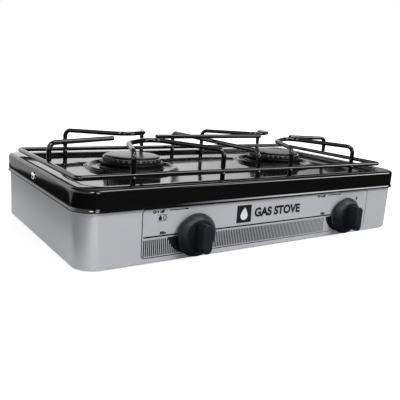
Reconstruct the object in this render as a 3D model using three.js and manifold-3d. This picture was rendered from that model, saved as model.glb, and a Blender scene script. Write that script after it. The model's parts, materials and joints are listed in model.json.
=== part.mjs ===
// Two-burner gas stove with a lift-off wire grate. Millimetres, +Z up, front toward -Y.
import * as THREE from 'three';
import { mergeVertices } from 'three/addons/utils/BufferGeometryUtils.js';
import Module from 'manifold-3d';

const wasm = await Module();
wasm.setup();

// ---- driving dimensions -------------------------------------------------
const GAP = 0.3;                 // clearance between touching pieces
const CASE_W = 525;
const CASE_D = 280;
const CASE_R = 24;
const CASE_REAR_R = 8;
const CASE_Z0 = 2.5;             // lower edge of the casing above the table
const CASE_Z1 = 90;
const SHEET = 1.0;
const BOTTOM_LIP = 10;

const TOP_W = 530;
const TOP_D = 285;
const TOP_R = 26.5;
const TOP_REAR_R = 10.5;
const TOP_SHEET = 1.2;
const SKIRT_Z0 = 68.8;
const RIM_Z = 94;
const RIM_W = 22;
const RIM_EDGE = 3.5;
const PAN_Z = 88.5;              // top face of the sunken pan
const PAN_R = 10;
const HEM = 1.1;                 // small outward flare at the skirt's lower edge

const BURNER_X = 131;
const BURNER_Y = 6;
const DISH_Z = 87.5;
const DISH_HOLE_R = 36;
const BEAD_R = 60;
const BEAD_Z = 92.9;

const KNOB_X = [-118, 146];
const KNOB_Z = 32.5;
const KNOB_BACK_Y = -144;
const KNOB_DEPTH = 26;
const GRIP_W = 13;
const GRIP_H = 35;

const ROD_R = 3.175;
const FRAME_W = 508;
const FRAME_D = 226;
const FRAME_Y = 4;
const FRAME_Z = 100.7;
const LEG_X = [187, 59];         // hairpin legs either side of the middle
const LEG_TOP_Z = 128.5;
const FINGER_Z = 132;
const OUTER_LEG_Z = 127;
const BEND_R = 9;
const FRAME_BEND_R = 5;
const FOOT_TIP_Z = PAN_Z + GAP;

const PIPE_R = 5;
const PIPE_Y = -117;
const PIPE_Z = KNOB_Z - 10 - GAP - PIPE_R;
const INLET_X = 215;
const INLET_Z = 40;

const SIDES = [['left', -1], ['right', 1]];
const FRONT_Y = FRAME_Y - FRAME_D / 2;
const BACK_Y = FRAME_Y + FRAME_D / 2;

// ---- solids -------------------------------------------------------------
function toSolid(geometry) {
  const bare = geometry.clone();
  bare.deleteAttribute('normal');
  bare.deleteAttribute('uv');
  const welded = mergeVertices(bare, 1e-4);
  const index = welded.index.array;
  const triVerts = [];
  for (let i = 0; i < index.length; i += 3) {
    const [a, b, c] = [index[i], index[i + 1], index[i + 2]];
    if (a !== b && b !== c && a !== c) triVerts.push(a, b, c);
  }
  return new wasm.Manifold(new wasm.Mesh({
    numProp: 3,
    vertProperties: new Float32Array(welded.attributes.position.array),
    triVerts: new Uint32Array(triVerts),
  }));
}

function toGeometry(solid) {
  const data = solid.getMesh();
  const geometry = new THREE.BufferGeometry();
  geometry.setAttribute('position', new THREE.BufferAttribute(new Float32Array(data.vertProperties), 3));
  geometry.setIndex(new THREE.BufferAttribute(new Uint32Array(data.triVerts), 1));
  return geometry;
}

function join(...solids) {
  return solids.reduce((sum, next) => sum.add(next));
}

function cut(solid, ...tools) {
  return tools.reduce((rest, tool) => rest.subtract(tool), solid);
}

function roundedRect(width, depth, frontRadius, rearRadius = frontRadius, segments = 4) {
  const [w, d] = [width / 2, depth / 2];
  const shape = new THREE.Shape();
  const corners = [[w, -d, -90], [w, d, 0], [-w, d, 90], [-w, -d, 180]];
  const points = [];
  for (const [cx, cy, start] of corners) {
    const radius = cy > 0 ? rearRadius : frontRadius;
    const [ox, oy] = [cx - Math.sign(cx) * radius, cy - Math.sign(cy) * radius];
    for (let k = 0; k <= segments; k += 1) {
      const angle = THREE.MathUtils.degToRad(start + (90 * k) / segments);
      points.push(new THREE.Vector2(ox + radius * Math.cos(angle), oy + radius * Math.sin(angle)));
    }
  }
  shape.setFromPoints(points);
  return shape;
}

function slab(shape, z0, z1) {
  const geometry = new THREE.ExtrudeGeometry(shape, { depth: z1 - z0, bevelEnabled: false, curveSegments: 8 });
  geometry.translate(0, 0, z0);
  return toSolid(geometry);
}

// Plate whose upper edge is rounded by `edge`.
function roundedSlab(width, depth, frontRadius, rearRadius, z0, z1, edge) {
  const shape = roundedRect(width - 2 * edge, depth - 2 * edge, frontRadius - edge, rearRadius - edge);
  const geometry = new THREE.ExtrudeGeometry(shape, {
    depth: 0.5, bevelEnabled: true, bevelThickness: edge, bevelSize: edge, bevelSegments: 2,
  });
  geometry.translate(0, 0, z1 - edge - 0.5);
  return join(toSolid(geometry), slab(roundedRect(width, depth, frontRadius, rearRadius), z0, z1 - edge - 0.2));
}

function block(x0, x1, y0, y1, z0, z1) {
  const geometry = new THREE.BoxGeometry(x1 - x0, y1 - y0, z1 - z0);
  geometry.translate((x0 + x1) / 2, (y0 + y1) / 2, (z0 + z1) / 2);
  return toSolid(geometry);
}

// Turned piece about Z from [radius, height] pairs.
function turned(profile, segments = 24) {
  const points = profile.map(([r, z]) => new THREE.Vector2(r, z));
  const geometry = new THREE.LatheGeometry(points, segments);
  geometry.rotateX(Math.PI / 2);
  return geometry;
}

function turnedSolid(profile, segments, matrix) {
  const geometry = turned(profile, segments);
  if (matrix) geometry.applyMatrix4(matrix);
  const solid = toSolid(geometry);
  return solid.volume() < 0 ? toSolid(flip(geometry)) : solid;
}

function flip(geometry) {
  const turnedOver = geometry.clone();
  const index = turnedOver.index.array;
  for (let i = 0; i < index.length; i += 3) {
    [index[i + 1], index[i + 2]] = [index[i + 2], index[i + 1]];
  }
  return turnedOver;
}

// Matrices that lay a piece turned about Z along +Y or along +X, then move it.
function alongY(x, y, z) {
  return new THREE.Matrix4().makeTranslation(x, y, z).multiply(new THREE.Matrix4().makeRotationX(-Math.PI / 2));
}

function alongX(x, y, z, side) {
  const turn = new THREE.Matrix4().makeRotationY((side * Math.PI) / 2);
  return new THREE.Matrix4().makeTranslation(x, y, z).multiply(turn);
}

function at(x, y, z) {
  return new THREE.Matrix4().makeTranslation(x, y, z);
}

// ---- bent rod -----------------------------------------------------------
// A path of straight runs and tangent bends that gives back its own stations exactly.
class BentPath extends THREE.Curve {
  constructor(corners, bendRadii, bendSteps = 4) {
    super();
    const stations = [corners[0].clone()];
    for (let i = 1; i < corners.length - 1; i += 1) {
      const corner = corners[i];
      const back = corners[i - 1].clone().sub(corner).normalize();
      const ahead = corners[i + 1].clone().sub(corner).normalize();
      const angle = back.angleTo(ahead);
      const radius = Array.isArray(bendRadii) ? bendRadii[i - 1] : bendRadii;
      const centre = back.clone().add(ahead).normalize()
        .multiplyScalar(radius / Math.sin(angle / 2)).add(corner);
      const from = back.multiplyScalar(radius / Math.tan(angle / 2)).add(corner).sub(centre);
      const to = ahead.multiplyScalar(radius / Math.tan(angle / 2)).add(corner).sub(centre);
      const sweep = from.angleTo(to);
      for (let k = 0; k <= bendSteps; k += 1) {
        const s = k / bendSteps;
        const point = from.clone().multiplyScalar(Math.sin((1 - s) * sweep))
          .add(to.clone().multiplyScalar(Math.sin(s * sweep)))
          .multiplyScalar(1 / Math.sin(sweep)).add(centre);
        stations.push(point);
      }
    }
    stations.push(corners[corners.length - 1].clone());
    this.stations = stations;
  }

  get steps() {
    return this.stations.length - 1;
  }

  station(u) {
    return Math.min(this.steps, Math.max(0, Math.round(u * this.steps)));
  }

  getPointAt(u, target = new THREE.Vector3()) {
    return target.copy(this.stations[this.station(u)]);
  }

  getPoint(u, target) {
    return this.getPointAt(u, target);
  }

  getTangentAt(u, target = new THREE.Vector3()) {
    const i = this.station(u);
    const before = this.stations[Math.max(0, i - 1)];
    const after = this.stations[Math.min(this.steps, i + 1)];
    const here = this.stations[i];
    const inward = i > 0 ? here.clone().sub(before).normalize() : new THREE.Vector3();
    const outward = i < this.steps ? after.clone().sub(here).normalize() : new THREE.Vector3();
    return target.copy(inward.add(outward)).normalize();
  }
}

function disc(radius, sides) {
  const points = [];
  for (let k = 0; k < sides; k += 1) {
    const angle = (2 * Math.PI * k) / sides;
    points.push(new THREE.Vector2(radius * Math.cos(angle), radius * Math.sin(angle)));
  }
  return points;
}

function sweep(corners, bendRadii, radius, { bore = 0, sides = 8, bendSteps = 3 } = {}) {
  const path = new BentPath(corners.map(([x, y, z]) => new THREE.Vector3(x, y, z)), bendRadii, bendSteps);
  const shape = new THREE.Shape(disc(radius, sides));
  if (bore > 0) shape.holes.push(new THREE.Path(disc(bore, sides).reverse()));
  const geometry = new THREE.ExtrudeGeometry(shape, { steps: path.steps, extrudePath: path });
  const solid = toSolid(geometry);
  return solid.volume() < 0 ? toSolid(flip(geometry)) : solid;
}

// ---- assembly -----------------------------------------------------------
const model = new THREE.Group();
model.name = 'two_burner_gas_stove';

const PAINT = {
  silver: { color: 0xb4b8be, metalness: 0.6, roughness: 0.4 },
  galvanised: { color: 0x9a9fa3, metalness: 0.9, roughness: 0.45 },
  enamel: { color: 0x0a0a0b, metalness: 0.0, roughness: 0.12 },
  castBlack: { color: 0x161616, metalness: 0.2, roughness: 0.5 },
  brass: { color: 0xb08a3e, metalness: 1.0, roughness: 0.35 },
  steel: { color: 0xc9ccd0, metalness: 1.0, roughness: 0.25 },
  knob: { color: 0x2b3030, metalness: 0.0, roughness: 0.55 },
  rubber: { color: 0x151515, metalness: 0.0, roughness: 0.9 },
};

function add(name, solid, paint) {
  const mesh = new THREE.Mesh(toGeometry(solid), new THREE.MeshStandardMaterial({ ...PAINT[paint] }));
  mesh.name = name;
  mesh.material.name = name;
  model.add(mesh);
}

function hole(radius, length, matrix, segments = 12) {
  return turnedSolid([[0, -length / 2], [radius, -length / 2], [radius, length / 2], [0, length / 2]], segments, matrix);
}

const SIDE_SCREW = { y: 10.5, z: 83 };
const REAR_Y = CASE_D / 2;
const REAR_OPENING = 225;        // half width of the opening the rear panel closes
const REAR_SCREWS = [[-231, 16], [231, 16], [-231, 58], [231, 58]];

function casing() {
  const outline = roundedRect(CASE_W, CASE_D, CASE_R, CASE_REAR_R);
  const outer = slab(outline, CASE_Z0, CASE_Z1);
  const inner = slab(roundedRect(CASE_W - 2 * SHEET, CASE_D - 2 * SHEET, CASE_R - SHEET, CASE_REAR_R - SHEET),
    CASE_Z0 - 1, CASE_Z1 + 1);
  const lipHole = slab(roundedRect(CASE_W - 2 * BOTTOM_LIP, CASE_D - 2 * BOTTOM_LIP, CASE_R - BOTTOM_LIP, 1),
    CASE_Z0 - 1, CASE_Z0 + 3);
  const lip = cut(slab(outline, CASE_Z0, CASE_Z0 + SHEET), lipHole);
  const opening = block(-REAR_OPENING, REAR_OPENING, REAR_Y - 15, REAR_Y + 5, 0, 100);
  const holes = KNOB_X.map((x) => hole(7, 10, alongY(x, -REAR_Y, KNOB_Z)));
  for (const side of [-1, 1]) {
    holes.push(hole(2.2, 10, alongX((side * CASE_W) / 2, SIDE_SCREW.y, SIDE_SCREW.z, side)));
  }
  for (const [x, z] of REAR_SCREWS) holes.push(hole(1.9, 6, alongY(x, REAR_Y, z)));
  return cut(join(cut(outer, inner), lip), opening, ...holes);
}

function rearPanel() {
  const half = REAR_OPENING + 11;
  const y1 = REAR_Y - SHEET - GAP;
  const sheet = block(-half, half, y1 - SHEET, y1, CASE_Z0 + SHEET + GAP, CASE_Z1);
  const lip = block(-180, 180, y1 - BOTTOM_LIP, y1, CASE_Z0 + SHEET + GAP, CASE_Z0 + 2 * SHEET + GAP);
  const holes = [hole(6.5, 10, alongY(INLET_X, y1, INLET_Z))];
  for (const [x, z] of REAR_SCREWS) holes.push(hole(1.9, 6, alongY(x, y1, z)));
  for (const side of [-1, 1]) {
    for (let k = 0; k < 5; k += 1) {
      const x = side * (55 + 22 * k);
      holes.push(block(x - 2.5, x + 2.5, y1 - 5, y1 + 5, 28, 58));
    }
  }
  return cut(join(sheet, lip), ...holes);
}

function topPanel() {
  const outer = roundedSlab(TOP_W, TOP_D, TOP_R, TOP_REAR_R, SKIRT_Z0, RIM_Z, RIM_EDGE);
  const hem = slab(roundedRect(TOP_W + 2 * HEM, TOP_D + 2 * HEM, TOP_R + HEM, TOP_REAR_R + HEM),
    SKIRT_Z0, SKIRT_Z0 + 1.6);
  const hollow = roundedSlab(TOP_W - 2 * TOP_SHEET, TOP_D - 2 * TOP_SHEET, TOP_R - TOP_SHEET, TOP_REAR_R - TOP_SHEET,
    SKIRT_Z0 - 2, RIM_Z - TOP_SHEET, RIM_EDGE - TOP_SHEET);
  const [panW, panD] = [TOP_W - 2 * RIM_W, TOP_D - 2 * RIM_W];
  const [trayW, trayD] = [panW + 2 * TOP_SHEET, panD + 2 * TOP_SHEET];
  const tray = slab(roundedRect(trayW, trayD, PAN_R + TOP_SHEET), PAN_Z - TOP_SHEET, RIM_Z);
  let top = cut(join(outer, hem), cut(hollow, tray), slab(roundedRect(panW, panD, PAN_R), PAN_Z, RIM_Z + 5));
  const t = TOP_SHEET;
  for (const [, side] of SIDES) {
    const place = at(side * BURNER_X, BURNER_Y, 0);
    const bead = turnedSolid([
      [DISH_HOLE_R, DISH_Z - t], [50, DISH_Z - t], [54, DISH_Z - t + 1.4], [60, BEAD_Z - t - 0.4],
      [66.5, PAN_Z - t], [69, PAN_Z - t], [69, PAN_Z], [67, PAN_Z], [62.5, BEAD_Z - 0.6], [BEAD_R, BEAD_Z],
      [57.5, BEAD_Z - 0.7], [53, DISH_Z + 1], [50, DISH_Z], [DISH_HOLE_R, DISH_Z], [DISH_HOLE_R, DISH_Z - t],
    ], 30, place);
    top = join(cut(top, hole(67.5, 20, at(side * BURNER_X, BURNER_Y, PAN_Z), 30)), bead);
    top = cut(top, hole(2.2, 10, alongX((side * TOP_W) / 2, SIDE_SCREW.y, SIDE_SCREW.z, side)));
  }
  return top;
}

add('casing_wrap', casing(), 'silver');
add('rear_panel', rearPanel(), 'galvanised');
add('top_panel', topPanel(), 'enamel');

// Screws: turned pan heads with their shanks.
function screw(headR, headH, shankR, shankL, matrix) {
  return turnedSolid([
    [0, -shankL], [shankR, -shankL], [shankR, 0], [headR, 0], [headR, headH * 0.45],
    [headR * 0.72, headH * 0.9], [0, headH],
  ], 12, matrix);
}

for (const [name, side] of SIDES) {
  add(`side_screw_${name}`,
    screw(4.6, 2.4, 1.9, 9, alongX(side * (TOP_W / 2 + GAP), SIDE_SCREW.y, SIDE_SCREW.z, side)), 'steel');
}
REAR_SCREWS.forEach(([x, z], k) => {
  add(`rear_screw_${k + 1}`, screw(3.6, 2.0, 1.6, 6, alongY(x, REAR_Y + GAP, z)), 'steel');
});

// Base rails with rubber feet.
for (const [name, side] of SIDES) {
  const x = side * 200;
  const z0 = CASE_Z0 + SHEET + GAP;
  const web = block(x - 13, x + 13, -CASE_D / 2 + 2, CASE_D / 2 - 4, z0, z0 + 1.2);
  const ribs = [-1, 1].map((s) => block(x + s * 12.4 - 0.6, x + s * 12.4 + 0.6, -124, 124, z0, z0 + 7));
  add(`base_rail_${name}`, join(web, ...ribs), 'galvanised');
  for (const [end, y] of [['front', -112], ['rear', 112]]) {
    const foot = turnedSolid([[0, 0], [7.5, 0], [8.5, 0.6], [8.5, z0 - GAP], [0, z0 - GAP]], 18, at(x, y, 0));
    add(`foot_${end}_${name}`, foot, 'rubber');
  }
}

// Burners: cup with its neck, slotted port ring, lift-off cap, clamp ring and mixing tube.
function portRing(x) {
  const ring = turnedSolid([[34.5, 99.8], [40.5, 99.8], [40.5, 104.3], [34.5, 104.3], [34.5, 99.8]], 28,
    at(x, BURNER_Y, 0));
  const slots = [];
  for (let k = 0; k < 12; k += 1) {
    const slot = new THREE.BoxGeometry(90, 2.3, 4);
    slot.rotateZ((Math.PI * (k + 0.5)) / 12);
    slot.translate(x, BURNER_Y, 103.2);
    slots.push(toSolid(slot));
  }
  return cut(ring, ...slots);
}

for (const [name, side] of SIDES) {
  const x = side * BURNER_X;
  const knobX = KNOB_X[side < 0 ? 0 : 1];
  const place = at(x, BURNER_Y, 0);
  add(`burner_cup_${name}`, turnedSolid([
    [13, 62], [15.5, 62], [15.5, 70], [24, 78], [31, 82.5], [33, 87.8], [44.4, 87.8], [44.4, 98.2], [43, 99.5],
    [36, 99.5], [34, 97], [30, 88], [13, 72], [13, 62],
  ], 28, place), 'castBlack');
  add(`port_ring_${name}`, portRing(x), 'castBlack');
  add(`burner_cap_${name}`, turnedSolid([
    [0, 102], [31.5, 102], [33, 104.6], [38.2, 104.6], [38.6, 105.3], [37.4, 106.6], [33, 107.4], [0, 107.9],
  ], 32, place), 'enamel');
  add(`burner_clamp_${name}`, turnedSolid([
    [33.4, 84.7], [47, 84.7], [47, 86], [33.4, 86], [33.4, 84.7],
  ], 28, place), 'galvanised');
  const bell = turnedSolid([[9.6, 0], [13.5, 0], [14.3, 0.8], [12, 7], [10.6, 9], [9.6, 9], [9.6, 0]], 12,
    alongY(knobX, -90, KNOB_Z));
  const tube = sweep([[knobX, -83, KNOB_Z], [x, BURNER_Y, KNOB_Z], [x, BURNER_Y, 61.7]], 22, 11,
    { bore: 9.6, sides: 12, bendSteps: 4 });
  add(`mixing_tube_${name}`, join(tube, bell), 'galvanised');
}

// Taps: injector, body, sprung plunger and stem on the supply pipe, with the knob outside.
function knob(x) {
  const outward = new THREE.Matrix4().makeTranslation(x, KNOB_BACK_Y, KNOB_Z)
    .multiply(new THREE.Matrix4().makeRotationX(Math.PI / 2));
  const skirt = turnedSolid([
    [0, 0], [25.6, 0], [26.8, 1], [26.8, 2.8], [25.4, 5], [22, 7.6], [17.6, 9.2], [0, 9.2],
  ], 30, outward);
  const grip = new THREE.ExtrudeGeometry(roundedRect(GRIP_W, GRIP_H, GRIP_W / 2 - 0.2), {
    depth: KNOB_DEPTH - 8, bevelEnabled: true, bevelThickness: 1, bevelSize: 1, bevelOffset: -1, bevelSegments: 1,
  });
  grip.translate(0, 0, 7);
  grip.applyMatrix4(outward);
  return cut(join(skirt, toSolid(grip)), hole(3.3, 24, alongY(x, KNOB_BACK_Y, KNOB_Z), 14));
}

for (const [k, [name]] of SIDES.entries()) {
  const x = KNOB_X[k];
  const along = (y) => alongY(x, y, KNOB_Z);
  add(`knob_${name}`, knob(x), 'knob');
  add(`tap_body_${name}`, turnedSolid([
    [7, 0], [10, 0], [10, 7], [8.6, 8], [8.6, 18], [10, 19], [10, 30], [6, 31], [3, 31], [3, 26], [7, 26], [7, 0],
  ], 16, along(-133)), 'brass');
  add(`tap_plunger_${name}`, turnedSolid([[0, 0], [6.7, 0], [6.7, 3], [0, 3]], 16, along(-114.6)), 'brass');
  add(`tap_stem_${name}`, turnedSolid([[0, 0], [3, 0], [3, 41], [0, 41]], 14, along(-155.9)), 'brass');
  add(`injector_${name}`, turnedSolid([
    [0.8, 0], [5.5, 0], [5.5, 5], [3.6, 6], [3.2, 14], [2.2, 16], [0.8, 16], [0.8, 0],
  ], 12, along(-101.7)), 'brass');
}

// Supply pipe from the rear inlet, its two brackets and the hose barb.
const supply = sweep([
  [INLET_X, REAR_Y + 6, INLET_Z], [INLET_X, -76, INLET_Z], [INLET_X, PIPE_Y, PIPE_Z], [-136, PIPE_Y, PIPE_Z],
], [14, 14], PIPE_R, { sides: 12 });
add('supply_pipe', supply, 'galvanised');
add('inlet_barb', turnedSolid([
  [1.8, 0], [9, 0], [9, 8], [6.2, 8.6], [6.2, 11], [5.2, 11.5], [6.2, 15], [5.2, 15.5], [6.2, 19], [5.2, 19.5],
  [6, 22.7], [4.6, 23.7], [1.8, 23.7], [1.8, 0],
], 14, alongY(INLET_X, REAR_Y + 6 + GAP, INLET_Z)), 'brass');
for (const [k, x] of [-50, 60].entries()) {
  const wall = block(x - 10, x + 10, -REAR_Y + SHEET + GAP, -REAR_Y + SHEET + GAP + 1.2, PIPE_Z + PIPE_R + GAP, 50);
  const shelf = block(x - 10, x + 10, -REAR_Y + SHEET + GAP, PIPE_Y + 8, PIPE_Z + PIPE_R + GAP, PIPE_Z + PIPE_R + 1.5);
  add(`pipe_bracket_${k + 1}`, join(wall, shelf), 'galvanised');
}

// Grate: perimeter rod with feet, bridge, cross rod, two straight fingers and four hairpins.
function ringRod() {
  const [w, y0, y1, z] = [FRAME_W / 2, FRONT_Y, BACK_Y, FRAME_Z];
  const weldX = 68;
  let ring = sweep([
    [weldX + 6, y0, z], [w, y0, z], [w, y1, z], [-w, y1, z], [-w, y0, z], [weldX - 6, y0, z],
  ], FRAME_BEND_R, ROD_R);
  const lay = new THREE.Matrix4().makeTranslation(weldX, y0, z)
    .multiply(new THREE.Matrix4().makeRotationY(Math.PI / 2));
  ring = join(ring, turnedSolid([
    [0, -8], [ROD_R + 0.1, -8], [ROD_R + 0.1, -1.2], [ROD_R + 0.5, 0], [ROD_R + 0.1, 1.2], [ROD_R + 0.1, 8], [0, 8],
  ], 8, lay));
  const feet = [];
  for (const y of [y0, y1]) {
    for (const x of [-LEG_X[0], -LEG_X[1], 0, LEG_X[1], LEG_X[0]]) {
      feet.push(turnedSolid([[0, FOOT_TIP_Z], [ROD_R - 0.5, FOOT_TIP_Z], [ROD_R, FOOT_TIP_Z + 0.5], [ROD_R, z],
        [0, z]], 8, at(x, y, 0)));
    }
  }
  return join(ring, ...feet);
}

const LEG_Z0 = FRAME_Z + ROD_R + GAP;

// One steep side that turns early, a wide rounded tip, and a long slanting side.
function hairpin(centreX, legY, tipY, turnIn) {
  const reach = tipY - legY;
  const [xa, xb] = [centreX - 64, centreX + 64];
  const steep = reach > 0 ? xa : xb;
  const slant = reach > 0 ? xb : xa;
  const lean = Math.sign(slant - steep);
  return sweep([
    [steep, legY, LEG_Z0], [steep, legY, LEG_TOP_Z], [steep + lean * turnIn, legY + reach * 0.66, FINGER_Z - 1],
    [steep + lean * 67, tipY, FINGER_Z], [slant, legY, LEG_TOP_Z], [slant, legY, LEG_Z0],
  ], [BEND_R, 22, 26, BEND_R], ROD_R);
}

add('grate_frame', ringRod(), 'enamel');
const bridgeZ = FINGER_Z - 2 * ROD_R - GAP;
add('grate_bridge', sweep([
  [0, FRONT_Y, LEG_Z0], [0, FRONT_Y, bridgeZ], [0, BACK_Y, bridgeZ], [0, BACK_Y, LEG_Z0],
], BEND_R, ROD_R), 'enamel');
add('grate_cross_rod', sweep([[-96, FRAME_Y, FINGER_Z], [96, FRAME_Y, FINGER_Z]], 1, ROD_R), 'enamel');
for (const [name, side] of SIDES) {
  const x = (side * FRAME_W) / 2;
  const [legY, tipY] = side < 0 ? [FRAME_Y - 18, FRAME_Y - 3] : [FRAME_Y + 8, FRAME_Y + 2];
  add(`grate_finger_${name}`, sweep([
    [x, legY, LEG_Z0], [x, legY, OUTER_LEG_Z], [side * 162, tipY, FINGER_Z - 1.5],
  ], BEND_R, ROD_R), 'enamel');
  add(`grate_hairpin_front_${name}`, hairpin(side * 123, FRONT_Y, -24, 20), 'enamel');
  add(`grate_hairpin_rear_${name}`, hairpin(side * 123, BACK_Y, 33, 26), 'enamel');
}

export default model;
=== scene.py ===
"""Looks of a two-burner tabletop gas stove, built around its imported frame. Sizes are in mm."""
import json
import math

import bpy
from mathutils import Matrix, Vector


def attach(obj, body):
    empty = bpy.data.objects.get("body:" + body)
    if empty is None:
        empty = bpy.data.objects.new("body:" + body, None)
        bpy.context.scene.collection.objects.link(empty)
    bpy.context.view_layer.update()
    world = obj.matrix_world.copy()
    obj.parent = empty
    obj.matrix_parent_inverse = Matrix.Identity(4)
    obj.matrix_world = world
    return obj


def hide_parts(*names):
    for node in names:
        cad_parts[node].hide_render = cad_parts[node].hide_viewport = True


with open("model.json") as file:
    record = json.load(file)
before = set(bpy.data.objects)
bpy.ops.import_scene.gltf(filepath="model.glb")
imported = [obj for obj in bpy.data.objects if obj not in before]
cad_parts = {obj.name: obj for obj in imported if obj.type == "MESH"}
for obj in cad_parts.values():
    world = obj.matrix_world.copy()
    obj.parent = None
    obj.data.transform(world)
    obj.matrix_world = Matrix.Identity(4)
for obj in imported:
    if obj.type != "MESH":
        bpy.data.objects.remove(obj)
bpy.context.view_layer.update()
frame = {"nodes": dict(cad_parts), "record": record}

MM = 0.001
GAP = 0.3
INK, LIFT = 0.08, 0.02

# Sheet metal
CASE_W, CASE_D, CASE_R, CASE_REAR_R = 525, 280, 24, 8
CASE_BOTTOM, CASE_TOP = 2.5, 90
REAR_OPENING = 225
TOP_W, TOP_D, TOP_R, TOP_REAR_R = 530, 285, 26.5, 10.5
HEM_Z, RIM_Z, PAN_Z = 68.8, 94, 88.5
RIM_WIDTH, HEM_OUT = 22.5, 1.1

# Burners and taps
BURNERS = {"left": -131, "right": 131}
BURNER_Y = 6
BEAD_R = 69
RING_R = 40.5
KNOBS = {"left": -118, "right": 146}
KNOB_Z = 32.5
KNOB_BACK = -144
FRONT = -CASE_D / 2
PRINT_Y = FRONT - LIFT

# Grate
ROD = 3.175
FRAME_W, FRAME_Z, FRAME_Y = 508, 100.7, 4
FRONT_Y, BACK_Y = -109, 117
LEG_X = (187, 59)
LEG_FOOT_Z = FRAME_Z + ROD + GAP
LEG_TOP_Z, FINGER_Z, OUTER_LEG_Z = 128.5, 132, 127
BRIDGE_Z = FINGER_Z - 2 * ROD - GAP
BEND, FRAME_BEND = 9, 5


# ---- finishes: shader maths as Python expressions -------------------------
class Field:
    """A shader socket. Arithmetic on it adds Math nodes."""

    def __init__(self, finish, socket):
        self.finish, self.socket = finish, socket

    def _math(self, operation, *terms):
        return self.finish.node("ShaderNodeMath", {"operation": operation}, dict(enumerate(terms)))

    def __add__(self, other):
        return self._math("ADD", self, other)

    def __mul__(self, other):
        return self._math("MULTIPLY", self, other)

    def __sub__(self, other):
        return self._math("SUBTRACT", self, other)

    def __rsub__(self, other):
        return self._math("SUBTRACT", other, self)

    def __gt__(self, other):
        return self._math("GREATER_THAN", self, other)

    __radd__, __rmul__ = __add__, __mul__


class Nodes:
    """A node tree, filled by calls."""

    def __init__(self, tree, place):
        self.tree = tree
        self.place = self.node("ShaderNodeTexCoord", {}, {}, place)

    def node(self, kind, settings, inputs, output=0):
        made = self.tree.nodes.new(kind)
        for key, value in settings.items():
            setattr(made, key, value)
        for key, value in inputs.items():
            self.feed(made.inputs[key], value)
        return Field(self, made.outputs[output])

    def feed(self, socket, value):
        if isinstance(value, Field):
            self.tree.links.new(value.socket, socket)
        else:
            socket.default_value = value

    def noise(self, scale, detail=2.0, roughness=0.5):
        inputs = {"Vector": self.place, "Scale": scale, "Detail": detail, "Roughness": roughness}
        return self.node("ShaderNodeTexNoise", {}, inputs, "Fac")

    def blend(self, factor, first, second):
        return self.node("ShaderNodeMix", {"data_type": "RGBA"}, {0: factor, 6: first, 7: second}, 2)

    def spread(self, factor, low, high, start=0.0, end=1.0):
        """Goes from low to high as the factor goes from start to end, and stops there."""
        inputs = {"Value": factor, "From Min": start, "From Max": end, "To Min": low, "To Max": high}
        return self.node("ShaderNodeMapRange", {}, inputs)

    def axis(self, name):
        return self.node("ShaderNodeSeparateXYZ", {}, {"Vector": self.place}, name)

    def ray(self, kind):
        return self.node("ShaderNodeLightPath", {}, {}, f"Is {kind} Ray")


class Finish(Nodes):
    """One material with a Principled shader."""

    def __init__(self, name, **settings):
        self.material = bpy.data.materials.new(name)
        self.material.use_nodes = True
        super().__init__(self.material.node_tree, "Object")
        self.shader = self.tree.nodes["Principled BSDF"]
        for socket, value in settings.items():
            self.shader.inputs[socket.replace("_", " ")].default_value = value

    def set(self, socket, value):
        self.feed(self.shader.inputs[socket], value)

    def bump(self, height, distance, strength=1.0):
        inputs = {"Height": height, "Distance": distance, "Strength": strength}
        self.set("Normal", self.node("ShaderNodeBump", {}, inputs))


def rgb(red, green, blue):
    return (red, green, blue, 1)


def silver_paint():
    finish = Finish("silver_paint", Metallic=0.22, Coat_Weight=0.15, Coat_Roughness=0.2)
    flake = finish.noise(2600, 1)
    cloud = finish.noise(9, 3)
    sparkle = finish.spread(flake, 0, 1, 0.35, 0.65)
    colour = finish.blend(sparkle, rgb(0.425, 0.435, 0.465), rgb(0.55, 0.56, 0.59))
    finish.set("Base Color", finish.blend(cloud * 0.18, colour, rgb(0.46, 0.47, 0.485)))
    finish.set("Roughness", finish.spread(cloud, 0.34, 0.44) + flake * 0.05)
    finish.bump(finish.noise(420, 2) * 0.6 + flake * 0.4, 0.00004)
    return finish.material


def black_enamel():
    finish = Finish("black_enamel", IOR=1.5)
    flow = finish.noise(28, 2)
    peel = finish.noise(260, 2)
    dust = finish.noise(1400, 1) > 0.70
    finish.set("Base Color", finish.blend(dust * 0.35, rgb(0.0035, 0.0035, 0.004), rgb(0.02, 0.02, 0.02)))
    finish.set("Roughness", finish.spread(peel, 0.04, 0.08) + dust * 0.1)
    finish.bump(flow * 0.85 + peel * 0.15, 0.00025, 0.3)
    return finish.material


def burner_black():
    finish = Finish("burner_black", IOR=1.4, Specular_IOR_Level=0.12)
    grain = finish.noise(900, 3)
    heat = finish.noise(40, 3)
    finish.set("Base Color", finish.blend(heat, rgb(0.004, 0.004, 0.005), rgb(0.014, 0.013, 0.012)))
    finish.set("Roughness", finish.spread(grain, 0.2, 0.36))
    finish.bump(grain, 0.00012, 0.7)
    return finish.material


def cap_enamel():
    """Duller than the pan, because it is heated every day."""
    finish = Finish("cap_enamel", IOR=1.17)
    peel = finish.noise(260, 2)
    heat = finish.noise(30, 3)
    finish.set("Base Color", finish.blend(heat, rgb(0.0035, 0.0035, 0.004), rgb(0.009, 0.009, 0.009)))
    finish.set("Roughness", finish.spread(peel, 0.12, 0.22))
    finish.bump(peel, 0.0001, 0.4)
    return finish.material


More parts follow.
